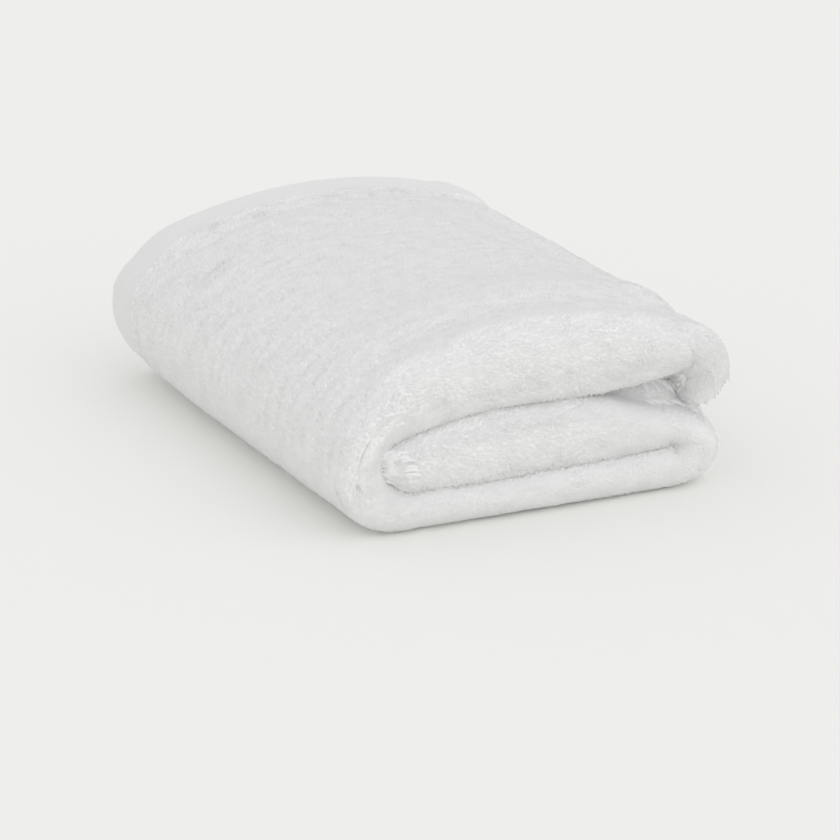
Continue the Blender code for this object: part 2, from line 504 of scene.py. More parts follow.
    def slip(self, x: np.ndarray, y: np.ndarray, z: np.ndarray) -> np.ndarray:
        """How far a point of the tight stack moves to the right as it settles."""
        tight = [self.tight[row.tier] for row in self.slips]
        left = smooth((self.wrap_x - x) / self.slip_blend + 1)
        right = smooth((x - self.turn_x) / self.slip_blend + 1)
        front = blend_at(tight, [row.wrap_front for row in self.slips], z)
        back = blend_at(tight, [row.wrap_back for row in self.slips], z)
        turn = blend_at(tight, [row.turn for row in self.slips], z)
        wrap = front + smooth((y + self.front) / self.back_reach + 1) * (back - front)
        return MM * (left * wrap + right * turn)

    def settle(self, x: np.ndarray, y: np.ndarray, z: np.ndarray) -> tuple[np.ndarray, ...]:
        """Moves points of the tight stack to where they come to rest.

        Args:
            x: the points in the tight stack, and so are y and z.
            y: their places along its depth.
            z: their heights.

        Returns:
            x and z at rest. y stays.
        """
        heights = self.level_heights(np.minimum(x, self.hang_x), y)
        stepped = blend_at(self.tight, heights, z)
        ends = [Tier.FLOOR, Tier.FIRST_PLY, Tier.TOP]
        even = blend_at([self.tight[end] for end in ends], [heights[end] for end in ends], z)
        wrapped = smooth((self.wrap_x - x) / self.wrap_blend + self.wrap_lead)
        rest = stepped + (even - stepped) * wrapped
        middle_top, top = heights[Tier.MIDDLE_TOP], heights[Tier.TOP]
        rest = rest + smooth((rest - middle_top) / (top - middle_top)) * self.ripple(x, y)
        stretch = (self.turn_stretch - 1) * np.maximum(x - self.turn_x, 0)
        stretch = np.where(z < self.tight[Tier.TOP_UNDERSIDE], stretch, 0)
        return x + self.slip(x, y, z) + stretch, rest

    def hang(
        self, x: np.ndarray, y: np.ndarray, z: np.ndarray, out: np.ndarray
    ) -> tuple[np.ndarray, np.ndarray]:
        """Bends the free end down past the turn, to the height at which its ply ends.

        Args:
            x: settled points of the top fold, and so are y and z.
            y: their places along the depth.
            z: their heights.
            out: how far each lies from the middle of the strip.

        Returns:
            x and z of the points.
        """
        over = x - self.hang_x
        heights = self.level_heights(np.full_like(y, self.hang_x), y)
        centre = (heights[Tier.TOP_UNDERSIDE] + heights[Tier.TOP]) / 2 - self.end.radius
        angle = np.clip(over, 0, self.end.bend) / self.end.radius
        outer, inner = self.cloth.outer_ply, self.cloth.inner_ply
        plies = [-outer, -inner, inner, outer]
        front = 1 - smooth((y - self.front) / self.front_reach)
        tip = blend_at(plies, list(self.end.tips), out)
        tip = tip + front * (blend_at(plies, list(self.end.front_tips), out) - tip)
        fall = np.maximum(centre - tip, self.end.least_drop) / self.end.drop
        drop = np.maximum(over - self.end.bend, 0) * fall
        radius = z - centre
        bent_x = self.hang_x + radius * np.sin(angle)
        bent_z = centre + radius * np.cos(angle) - drop
        return np.where(over > 0, bent_x, x), np.where(over > 0, bent_z, z)

    def place(self, across: np.ndarray, y: np.ndarray, out: np.ndarray) -> np.ndarray:
        """Finds where points of the strip come to rest.

        Args:
            across: how far along the strip they lie, which is across the cloth.
            y: their places along the depth.
            out: how far they lie from the middle of the strip.

        Returns:
            Their points, with x, y and z on the last axis.
        """
        across, y, out = np.broadcast_arrays(across, y, out)
        x, z, heading, _ = self.letter_path.at(across)
        x = x - self.tuck * (1 - smooth(across / self.tuck_reach))
        beyond = np.clip((self.wrap_x - x) / self.hollow_radius, 0, 1) * (across < self.tuck_reach)
        out = out * np.sqrt(1 - beyond * beyond)
        x = x - out * np.sin(heading)
        z = z + out * np.cos(heading)
        x, z = self.settle(x, y, z)
        hung_x, hung_z = self.hang(x, y, z, out)
        free = across > self.cloth.width / 2
        return np.stack([np.where(free, hung_x, x), y, np.where(free, hung_z, z)], axis=-1)

    def survey(self, across: np.ndarray, along: np.ndarray) -> "Survey":
        """Places a grid of the flat cloth, and finds its normals and how thick it may be.

        Args:
            across: where the columns lie across the width.
            along: where the rows lie along the length.

        Returns:
            The survey of the grid.
        """
        columns = np.minimum(across, self.cloth.width - self.probe)[None, :]
        y, out, heading, quarter_radius = (part[:, None] for part in self.quarter_path.at(along))
        *_, middle_radius = self.letter_path.at(columns)
        letter_radius = middle_radius + out
        forward, up = self.probe * np.cos(heading), self.probe * np.sin(heading)
        here = self.place(columns, y, out)
        wide = self.place(columns + self.probe, y, out) - here
        onward = self.place(columns, y + forward, out + up) - here
        next_ply = self.place(columns, y - up, out + forward) - here
        widened = np.linalg.norm(wide, axis=-1)
        lengthened = np.linalg.norm(onward, axis=-1)
        wide /= widened[..., None]
        onward /= lengthened[..., None]
        normal = unit(np.cross(onward, wide))
        spacing = np.abs(np.sum(next_ply * normal, axis=-1)) / self.probe
        room = self.cloth.pitch * spacing - self.cloth.ply_gap
        bend_room = self.cloth.bend_share * np.minimum(
            quarter_radius * (lengthened / self.probe) ** 2,
            letter_radius * (widened / self.probe) ** 2,
        )
        thickness = np.minimum(np.minimum(room, bend_room), self.cloth.full)
        thickness = np.maximum(thickness, self.cloth.thinnest)
        return Survey(across, along, here, normal, wide, thickness)


@dataclass(frozen=True)
class Spots:
    """Spots of the cloth at rest: its middle, normal, way along it and thickness there."""

    middle: np.ndarray
    normal: np.ndarray
    onward: np.ndarray
    thickness: np.ndarray

    def at_level(self, level: float | np.ndarray, beyond: float = 0) -> np.ndarray:
        """Points at a level, from -FACE on the back to FACE on the face, or beyond it."""
        return self.middle + self.normal * (level * self.thickness + beyond)[:, None]


@dataclass
class Survey:
    """A grid of the cloth at rest: its middle surface, its directions and its thickness."""

    across: np.ndarray
    along: np.ndarray
    middle: np.ndarray
    normal: np.ndarray
    wide: np.ndarray
    thickness: np.ndarray

    def spots(self, flat: np.ndarray) -> Spots:
        """Finds points of the flat cloth in the cloth at rest.

        Args:
            flat: the points.

        Returns:
            The spots where they lie.
        """
        normal = unit(self.sample(self.normal, flat))
        onward = unit(np.cross(self.sample(self.wide, flat), normal))
        thickness = self.sample(self.thickness, flat)
        return Spots(self.sample(self.middle, flat), normal, onward, thickness)

    def sample(self, values: np.ndarray, flat: np.ndarray) -> np.ndarray:
        """Reads a grid of values at points of the flat cloth.

        Args:
            values: one value or vector for each point of the grid.
            flat: the points.

        Returns:
            The values there, blended between the nearest four of the grid.
        """
        column = np.interp(flat[:, 0], self.across, np.arange(len(self.across)))
        row = np.interp(flat[:, 1], self.along, np.arange(len(self.along)))
        left = np.minimum(column.astype(int), len(self.across) - 2)
        low = np.minimum(row.astype(int), len(self.along) - 2)
        s, t = column - left, row - low
        if values.ndim == 3:
            s, t = s[:, None], t[:, None]
        near = values[low, left] * (1 - s) + values[low, left + 1] * s
        far = values[low + 1, left] * (1 - s) + values[low + 1, left + 1] * s
        return near * (1 - t) + far * t


@dataclass(frozen=True)
class Zone:
    """A stretch of the face that shows, and so bears tufts, by its bounds in mm."""

    name: str
    across: tuple[float, float]
    along: tuple[float, float]
    margin: float = 2
    least_share: float = 0.3

    def holds(self, flat: np.ndarray) -> np.ndarray:
        """Whether points of the flat cloth lie in the zone, or well within its margin."""
        return self.share(flat) > self.least_share

    def share(self, flat: np.ndarray) -> np.ndarray:
        """1 at points in the zone, and evenly down to 0 at its margin outside."""
        low, high = np.transpose([self.across, self.along])
        outside = np.maximum(low - flat / MM, flat / MM - high).max(axis=-1)
        return 1 - smooth(outside / self.margin)


SHOWING = (
    Zone("pile_turn", (119, 158), (24, 303)),
    Zone("pile_wrap", (264, 340), (24, 312)),
    Zone("pile_hanging_end", (464, 500), (24, 345)),
    Zone("pile_top_back", (340, 464), (24, 130)),
    Zone("pile_top_front", (340, 464), (130, 303)),
    Zone("pile_tucked_end", (0, 119), (172, 303)),
    Zone("pile_under_front", (158, 264), (226, 303)),
    Zone("pile_back_fold", (0, 500), (490, 518)),
)


@dataclass(frozen=True)
class Mark:
    """A dent, crease or swelling of the face, by where it lies on the flat cloth, in mm."""

    across: float
    along: float
    half_length: float
    half_width: float
    degrees: float
    height: float

    def at(self, flat: np.ndarray) -> np.ndarray:
        """Finds how far the face is moved out by this mark.

        Args:
            flat: points of the flat cloth.

        Returns:
            The move at each point, in metres.
        """
        angle = math.radians(self.degrees)
        side, on = flat[..., 0] / MM - self.across, flat[..., 1] / MM - self.along
        down = (side * math.cos(angle) + on * math.sin(angle)) / self.half_length
        over = (on * math.cos(angle) - side * math.sin(angle)) / self.half_width
        return MM * self.height * np.exp(-(down**2) - over**2)


@dataclass(frozen=True)
class Relief:
    """How the face of the cloth rises and falls between the folds."""

    marks: tuple[Mark, ...] = (
        # Across the top, close behind the front: a ridge, a trough and the brow.
        Mark(378, 236, 45, 4, 0, 0.4),
        Mark(443, 219, 32, 5, -30, 0.45),
        Mark(395, 243.5, 50, 3, 0, -0.35),
        Mark(405, 249.5, 55, 3, -2, 0.3),
        # The folds press together behind their fronts.
        Mark(45, 238, 60, 4, 0, 2.4),
        Mark(400, 264, 60, 4, 0, 2.4),
        Mark(60, 264, 70, 4, 0, 2.4),
        Mark(214, 264, 70, 4, 0, 2.4),
        # The top roll overhangs the tucked end.
        Mark(58, 248, 60, 5, 0, -2.4),
        Mark(400, 256, 60, 5, 0, 0.8),
        # The tucked end fills the hollow of the wrap, with a small gap below its curls.
        Mark(3, 250, 9, 16, 0, 1.3),
        Mark(308, 267, 34, 8, 0, 2.6),
        Mark(6, 260, 3, 1.4, 0, -1.2),
        # The hanging end fills the hollow beside the turn.
        Mark(480, 280, 18, 18, 0, 4),
        Mark(134, 234, 12, 12, 0, 2),
        # Where the top roll bends down at the right.
        Mark(471, 255, 9, 2, 50, -2),
        Mark(478, 247, 9, 3, 30, 0.8),
        # At the front left corner: two ridges with a crease between them, and dents below.
        Mark(316, 248.6, 11, 1.8, 7, 1.9),
        Mark(318, 254.6, 11, 1.8, 5, 1.9),
        Mark(315, 251.6, 12, 1.6, 6, -2),
        Mark(300.5, 249.5, 4, 3.4, 0, -3.2),
        Mark(295, 262, 3, 2.4, 0, -1.2),
        # Low on the left side.
        Mark(302, 64, 4.5, 3, 0, -1.5),
        Mark(300, 110, 9, 14, 0, -0.7),
        Mark(304, 170, 8, 18, 10, -0.6),
    )
    groove: float = 0.7 * MM
    groove_width: float = 0.9 * MM
    broad: Waves = Waves(seed=3, width=55 * MM)
    rows: Waves = Waves(seed=5, width=14 * MM, stretch=3.5)
    broad_height: float = 0.3 * MM
    row_height: float = 0.12 * MM

    def at(self, flat: np.ndarray) -> np.ndarray:
        """How far the face is moved out at points of the flat cloth, in metres."""
        height = self.broad_height * self.broad.at(flat) + self.row_height * self.rows.at(flat)
        for mark in self.marks:
            height = height + mark.at(flat)
        return height


@dataclass(frozen=True)
class Finish:
    """A white cotton finish: how light it is at most and at least, and how fine its grain is."""

    name: str
    lightest: float
    darkest: float
    grain: float
    grain_depth: float
    rough: float = 0.95
    sheen: float = 0.25
    mottle: float = 90
    mottle_band: tuple[float, float] = (0.3, 0.7)

    def material(self) -> bpy.types.Material:
        """Makes the material.

        Returns:
            A material whose mottling and grain follow the flat cloth.
        """
        made = bpy.data.materials.new(self.name)
        made.use_nodes = True
        nodes, links = made.node_tree.nodes, made.node_tree.links
        shader = nodes["Principled BSDF"]
        dial(shader, {"Roughness": self.rough, "Specular IOR Level": 0.2})
        dial(shader, {"Sheen Weight": self.sheen, "Sheen Roughness": 0.5})
        chart = nodes.new("ShaderNodeUVMap")
        chart.uv_map = "cloth"

        def noise(scale: float, detail: float) -> bpy.types.NodeSocket:
            """Noise that follows the flat cloth."""
            texture = nodes.new("ShaderNodeTexNoise")
            dial(texture, {"Scale": scale, "Detail": detail})
            links.new(chart.outputs["UV"], texture.inputs["Vector"])
            return texture.outputs["Fac"]

        ramp = nodes.new("ShaderNodeValToRGB")
        stops = zip(ramp.color_ramp.elements, self.mottle_band, (self.darkest, self.lightest))
        for stop, place, tone in stops:
            stop.position = place
            stop.color = (tone, tone, tone, 1)
        links.new(noise(self.mottle, detail=4), ramp.inputs["Fac"])
        links.new(ramp.outputs["Color"], shader.inputs["Base Color"])
        bump = nodes.new("ShaderNodeBump")
        dial(bump, {"Distance": self.grain_depth})
        links.new(noise(self.grain, detail=3), bump.inputs["Height"])
        links.new(bump.outputs["Normal"], shader.inputs["Normal"])
        return made


@dataclass
class Sheet:
    """The cloth itself: one closed sheet, thinner where the pile stands on it."""

    towel: FoldedTowel
    relief: Relief
    zones: tuple[Zone, ...]
    pile_height: float = 0.9 * MM
    column_counts: tuple[int, ...] = (36, 18, 32, 36, 54, 14, 6)
    row_counts: tuple[int, ...] = (5, 6, 76, 22, 36, 8, 22, 6, 22)
    edge: float = 2.4 * MM
    sharpest: float = 0.02
    crowding: float = 1.5
    edge_crowding: float = 2
    ground: Finish = Finish("terry_ground", 0.955, 0.945, 900, 0.2 * MM)
    weave: Finish = Finish("hem_weave", 0.81, 0.79, 1400, 0.1 * MM)
    survey: Survey = field(init=False)

    def __post_init__(self) -> None:
        """Surveys the grid and dresses it."""
        self.survey = self.towel.survey(self.column_cuts(), self.row_cuts())
        self.dress()

    def column_cuts(self) -> np.ndarray:
        """Where the grid is cut across the width: evenly in each run of the letter fold."""
        end = self.towel.end
        lengths = [run.length for run in self.towel.letter_path.runs]
        lengths[-1:] = [lengths[-1] - end.bend - end.drop, end.bend, end.drop]
        return self.cuts(lengths, self.column_counts, [1] * len(lengths))

    def row_cuts(self) -> np.ndarray:
        """Where the grid is cut along the length: closer and closer towards the spine."""
        hem = self.towel.cloth.hem
        lengths = [run.length for run in self.towel.quarter_path.runs]
        lengths[:1] = [self.edge, hem - self.edge, lengths[0] - hem]
        to_spine, from_spine = 1 / self.crowding, self.crowding
        grades = [self.edge_crowding, 1, to_spine, 1, from_spine, 1, to_spine, 1, from_spine]
        return self.cuts(lengths, self.row_counts, grades)

    @staticmethod
    def cuts(lengths: list[float], counts: tuple[int, ...], grades: list[float]) -> np.ndarray:
        """Cuts a row of stretches.

        Args:
            lengths: the length of each stretch.
            counts: into how many parts each is cut.
            grades: 1 for even parts, more where they widen, less where they narrow.

        Returns:
            The places of the cuts, from 0.
        """
        places = [np.zeros(1)]
        for length, count, grade in zip(lengths, counts, grades, strict=True):
            even = np.linspace(0, 1, count + 1)[1:]
            shares = even**grade if grade >= 1 else 1 - (1 - even) ** (1 / grade)
            places.append(places[-1][-1] + length * shares)
        return np.concatenate(places)

    def dress(self) -> None:
        """Lowers the face under the pile and at the hem's seam, and raises the relief."""
        survey = self.survey
        flat = np.stack(np.meshgrid(survey.across, survey.along), axis=-1)
        along = flat[..., 1]
        piled = np.max([zone.share(flat) for zone in self.zones], axis=0)
        seam = (along - self.towel.cloth.hem) / self.relief.groove_width
        moved = (self.relief.at(flat) - self.pile_height) * piled
        moved = moved - self.relief.groove * np.exp(-seam * seam)
        survey.middle = survey.middle + survey.normal * moved[..., None] / 2
        inwards = np.clip(1 - along / self.edge, 0, 1)
        rounded = np.sqrt(np.maximum(1 - inwards * inwards, self.sharpest))
        survey.thickness = (survey.thickness + moved) * rounded

    def build(self) -> bpy.types.Object:
        """Makes the sheet's mesh from a flat grid.

        Returns:
            The sheet, closed, with its flat layout as a UV map.
        """
        survey = self.survey
        across_parts, along_parts = len(survey.across) - 1, len(survey.along) - 1
        half = 0.5
        bm = bmesh.new()
        bmesh.ops.create_grid(bm, x_segments=across_parts, y_segments=along_parts, size=half)
        chart = bm.loops.layers.uv.new("cloth")
        places = [
            (round((vert.co.y + half) * along_parts), round((vert.co.x + half) * across_parts))
            for vert in bm.verts
        ]
        for vert, place in zip(bm.verts, places):
            vert.co = survey.middle[place]
        thickness = [survey.thickness[place] for place in places]
        for face in bm.faces:
            for corner in face.loops:
                row, column = places[corner.vert.index]
                corner[chart].uv = (survey.across[column], survey.along[row])
        bmesh.ops.triangulate(bm, faces=bm.faces)
        bmesh.ops.recalc_face_normals(bm, faces=bm.faces)
        hem = self.towel.cloth.hem
        for face in bm.faces:
            along = sum(corner[chart].uv.y for corner in face.loops) / len(face.loops)
            face.material_index = int(not hem < along < self.towel.cloth.length - hem)
            face.smooth = True
        mesh = take_mesh(bm, "terry_sheet")
        mesh.materials.append(self.ground.material())
        mesh.materials.append(self.weave.material())
        sheet = show("terry_sheet", mesh)
        most = max(thickness)
        group = sheet.vertex_groups.new(name="thickness")
        for index, thick in enumerate(thickness):
            group.add([index], thick / most, "REPLACE")
        walls = sheet.modifiers.new("cloth", "SOLIDIFY")
        walls.thickness = most
        walls.offset = 0
        walls.use_even_offset = True
        walls.vertex_group = group.name
        graph = bpy.context.evaluated_depsgraph_get()
        closed = bpy.data.meshes.new_from_object(sheet.evaluated_get(graph))
        sheet.modifiers.clear()
        sheet.vertex_groups.clear()
        sheet.data = closed
        closed.name = "terry_sheet"
        bpy.data.meshes.remove(mesh)
        return sheet


@dataclass(frozen=True)
class Tufts:
    """Many tufts, each by its foot, its three directions, its sizes and how far it leans."""

    foot: np.ndarray
    side: np.ndarray
    onward: np.ndarray
    upward: np.ndarray
    half_length: np.ndarray
    half_width: np.ndarray
    height: np.ndarray
    lean_side: np.ndarray
    lean_on: np.ndarray
    twist: np.ndarray
    flat: np.ndarray
    facing: np.ndarray

    @staticmethod
    def pattern() -> tuple[np.ndarray, np.ndarray]:
        """One tuft, a pyramid on a base that lies buried.

        Returns:
            Its points, with z from 0 to 1, and its faces.
        """
        bm = bmesh.new()
        bmesh.ops.create_cone(bm, cap_ends=True, segments=4, radius1=1, radius2=0, depth=1)
        bmesh.ops.remove_doubles(bm, verts=bm.verts, dist=1e-5)
        bmesh.ops.translate(bm, verts=bm.verts, vec=(0, 0, 0.5))
        bmesh.ops.triangulate(bm, faces=bm.faces)
        bmesh.ops.recalc_face_normals(bm, faces=bm.faces)
        bm.verts.index_update()
        points = np.array([vert.co for vert in bm.verts])
        faces = np.array([[vert.index for vert in face.verts] for face in bm.faces])
        bm.free()
        return points, faces

    def join(
        self, name: str, material: bpy.types.Material, relief_share: float
    ) -> bpy.types.Object:
        """Joins the tufts into one piece.

        Args:
            name: the piece's name.
            material: its finish.
            relief_share: how far each tuft's own form shows in its shading, from 0, where
                it is shaded as the cloth under it, to 1.

        Returns:
            The piece.
        """
        points, faces = self.pattern()
        if np.sum(np.cross(self.side[0], self.onward[0]) * self.upward[0]) < 0:
            faces = faces[:, ::-1]
        cosine, sine = np.cos(self.twist)[:, None], np.sin(self.twist)[:, None]
        length = self.half_length[:, None] * points[:, 0]
        width = self.half_width[:, None] * points[:, 1]
        rise = self.height[:, None] * points[:, 2]
        sideways = length * cosine - width * sine + self.lean_side[:, None] * rise
        lengthways = length * sine + width * cosine + self.lean_on[:, None] * rise
        corners = (
            self.foot[:, None]
            + self.side[:, None] * sideways[..., None]
            + self.onward[:, None] * lengthways[..., None]
            + self.upward[:, None] * rise[..., None]
        )
        corners[..., 2] = np.maximum(corners[..., 2], FLOOR_GAP)
        count, each = len(self.foot), len(points)
        indices = faces[None] + each * np.arange(count)[:, None, None]
        mesh = bpy.data.meshes.new(name)
        mesh.from_pydata(corners.reshape(-1, 3), [], indices.reshape(-1, 3))
        chart = mesh.uv_layers.new(name="cloth")
        flat = self.flat[:, None] + self.half_width[:, None, None] * points[None, :, :2]
        chart.data.foreach_set("uv", flat.reshape(-1, 2)[indices.ravel()].ravel())
        mesh.shade_smooth()
        own = np.empty(count * each * 3)
        mesh.vertex_normals.foreach_get("vector", own)
        shared = np.repeat(self.facing, each, axis=0)
        soft = shared + relief_share * (own.reshape(-1, 3) - shared)
        mesh.normals_split_custom_set_from_vertices(soft)
        mesh.materials.append(material)
        return show(name, mesh)


@dataclass(frozen=True)
class Edging:
    """The pile of a cut end of the cloth: its tufts' sizes, and how far they stray."""

    name: str
    end: CutEnd
    length: float
    half_length: float = 0.9 * MM
    half_width: float = 0.8 * MM
    lengths: tuple[float, float] = (0.5, 1.2)
    density: float = 0.7
    highest: float = 0.42
    stray_along: float = 0.3
    stray_out: float = 0.25
    twist: float = 0.5


@dataclass
class Pile:
    """The tufts of the pile, in joined pieces."""

    sheet: Sheet
    pitch: float = 1.3 * MM
    row_pitch: float = 0.78 * MM
    jitter: float = 0.3
    height: float = 1.0 * MM
    half_length: float = 1.9 * MM
    half_width: float = 1.15 * MM
    root: float = 0.3 * MM
    sizes: tuple[float, float] = (0.82, 1.18)
    tall_share: float = 0.08
    lean: float = 0.12
    stray: float = 0.14
    twist: float = 0.3
    relief_share: float = 0.45
    barest: float = 0.3
    seed: int = 11
    finish: Finish = Finish("terry_pile", 0.96, 0.945, 2500, 0.1 * MM)
    edgings: tuple[Edging, ...] = (
        Edging("pile_tucked_edge", CutEnd.TUCKED, 4.0 * MM),
        Edging("pile_hanging_edge", CutEnd.HANGING, 2.6 * MM),
    )
    fluffs: tuple[Mark, ...] = (
        # Along the front: the tucked end's crest, the top roll's lower edge, the corner.
        Mark(45, 249, 45, 2.2, -2, 0.7),
        Mark(3, 254, 8, 8, 0, 1),
        Mark(400, 258, 60, 3, 0, 0.35),
        Mark(440, 256, 14, 4, 0, 0.5),
        # In the creases between the folds, where the pile of both sides meets.
        Mark(60, 263, 75, 3, 0, 1),
        Mark(214, 263, 75, 3, 0, 1),
        Mark(137, 268, 22, 5, 0, 1.3),
        Mark(400, 265, 70, 3.5, 0, 0.9),
        Mark(40, 238, 60, 4, 0, 0.7),
        # Inside the free end, where the pile hangs loose.
        Mark(482, 290, 20, 34, 0, 1.5),
        # At the front left corner, where it is bent and dented.
        Mark(315, 251.6, 12, 1.2, 6, -0.6),
        Mark(300.5, 249.5, 3.4, 2.8, 0, -0.4),
        # Inside the wrap, where it holds the tucked end.
        Mark(308, 280, 34, 16, 0, 1.6),
        # Beside the hem's seam.
        Mark(353, 27, 5, 2, 0, 0.8),
        Mark(372, 31, 4, 3.5, 0, 0.7),
        Mark(406, 29, 8, 2.5, 0, 0.8),
        Mark(424, 27, 6, 3, 0, 0.8),
        Mark(440, 28, 6, 4, 0, 0.8),
        Mark(449, 26, 5, 2, 0, 0.7),
        Mark(465, 33, 4, 6, 0, 0.6),
        # On the left shoulder.
        Mark(340, 68, 4, 4, 0, 0.5),
        Mark(332, 71, 6, 3, 0, 0.5),
        # Where the free end hangs.
        Mark(480, 180, 8, 90, 0, 0.4),
    )
    tall: Waves = Waves(seed=21, width=3.6 * MM, stretch=4.5)
    lean_across: Waves = Waves(seed=22, width=9 * MM, stretch=2.0)
    lean_along: Waves = Waves(seed=23, width=7 * MM, stretch=2.0)

    def fullness(self, flat: np.ndarray) -> np.ndarray:
        """How much larger than usual the tufts are at points of the flat cloth."""
        fuller = sum(fluff.at(flat) for fluff in self.fluffs) / MM
        return np.maximum(1 + fuller, self.barest)

    def sown(self, rng: np.random.Generator) -> np.ndarray:
        """Sets out the roots of the tufts in rows, each a little off its place.

        Args:
            rng: the random numbers.

        Returns:
            Where the roots lie on the flat cloth.
        """
        cloth = self.sheet.towel.cloth
        rows = np.arange(cloth.hem + self.row_pitch, cloth.length / 2 + cloth.hem, self.row_pitch)
        columns = np.arange(self.pitch / 2, cloth.width, self.pitch)
        across, along = np.meshgrid(columns, rows)
        across[1::2] += self.pitch / 2
        across = across + rng.normal(0, self.jitter * self.pitch, across.shape)
        along = along + rng.normal(0, self.jitter * self.row_pitch, along.shape)
        return np.stack([np.clip(across, 0, cloth.width).ravel(), along.ravel()], axis=-1)

    def build(self) -> list[bpy.types.Object]:
        """Makes the tufts of every zone, and of both cut ends.

        Returns:
            One joined piece for each zone and end.
        """
        rng = np.random.default_rng(self.seed)
        material = self.finish.material()
        roots = self.sown(rng)
        free = np.ones(len(roots), bool)
        made = []
        for zone in self.sheet.zones:
            here = free & zone.holds(roots)
            free &= ~here
            tufts = self.standing(roots[here], rng)
            made.append(tufts.join(zone.name, material, self.relief_share))
        for edging in self.edgings:
            tufts = self.fringing(edging, rng)
            made.append(tufts.join(edging.name, material, relief_share=1))
        return made

    def standing(self, flat: np.ndarray, rng: np.random.Generator) -> Tufts:
        """Makes tufts that stand on the face.

        Args:
            flat: where their roots lie on the flat cloth.
            rng: the random numbers.

        Returns:
            The tufts.
        """
        count = len(flat)
        spots = self.sheet.survey.spots(flat)
        full = self.fullness(flat) * rng.uniform(*self.sizes, count)
        tall = 1 + self.tall_share * self.tall.at(flat)
        return Tufts(
            foot=spots.at_level(FACE, -self.root),
            side=np.cross(spots.normal, spots.onward),
            onward=spots.onward,
            upward=spots.normal,
            half_length=self.half_length * full**0.5,
            half_width=self.half_width * full**0.25,
            height=self.height * full * tall + self.root,
            lean_side=self.lean * self.lean_across.at(flat) + rng.normal(0, self.stray, count),
            lean_on=self.lean * self.lean_along.at(flat) + rng.normal(0, self.stray, count),
            twist=rng.normal(0, self.twist, count),
            flat=flat,
            facing=spots.normal,
        )

    def fringing(self, edging: Edging, rng: np.random.Generator) -> Tufts:
        """Makes tufts that stand on a cut end of the cloth, on all of its plies.

        Args:
            edging: the pile of that end.
            rng: the random numbers.

        Returns:
            The tufts.
        """
        cloth = self.sheet.towel.cloth
        count = round(cloth.length * cloth.full / (self.pitch * self.row_pitch) * edging.density)
        along = rng.uniform(0, cloth.length, count)
        across = np.full(count, cloth.width if edging.end is CutEnd.HANGING else 0)
        flat = np.stack([across, along], axis=-1)
        spots = self.sheet.survey.spots(flat)
        outward = edging.end.value * np.cross(spots.normal, spots.onward)
        level = rng.uniform(-edging.highest, edging.highest, count)
        return Tufts(
            foot=spots.at_level(level) - outward * self.root,
            side=spots.onward,
            onward=spots.normal,
            upward=outward,
            half_length=np.full(count, edging.half_length),
            half_width=np.full(count, edging.half_width),
            height=edging.length * rng.uniform(*edging.lengths, count),
            lean_side=rng.normal(0, edging.stray_along, count),
            lean_on=level + rng.normal(0, edging.stray_out, count),
            twist=rng.normal(0, edging.twist, count),
            flat=flat,
            facing=outward,
        )


@dataclass(frozen=True)
class LockRow:
    """A row of loose locks of pile, by where the first and last begin and end, in mm."""

    roots: tuple[tuple[float, float], tuple[float, float]]
    tips: tuple[tuple[float, float], tuple[float, float]]
    count: int
    lift: float
    bow: float
    radius: float


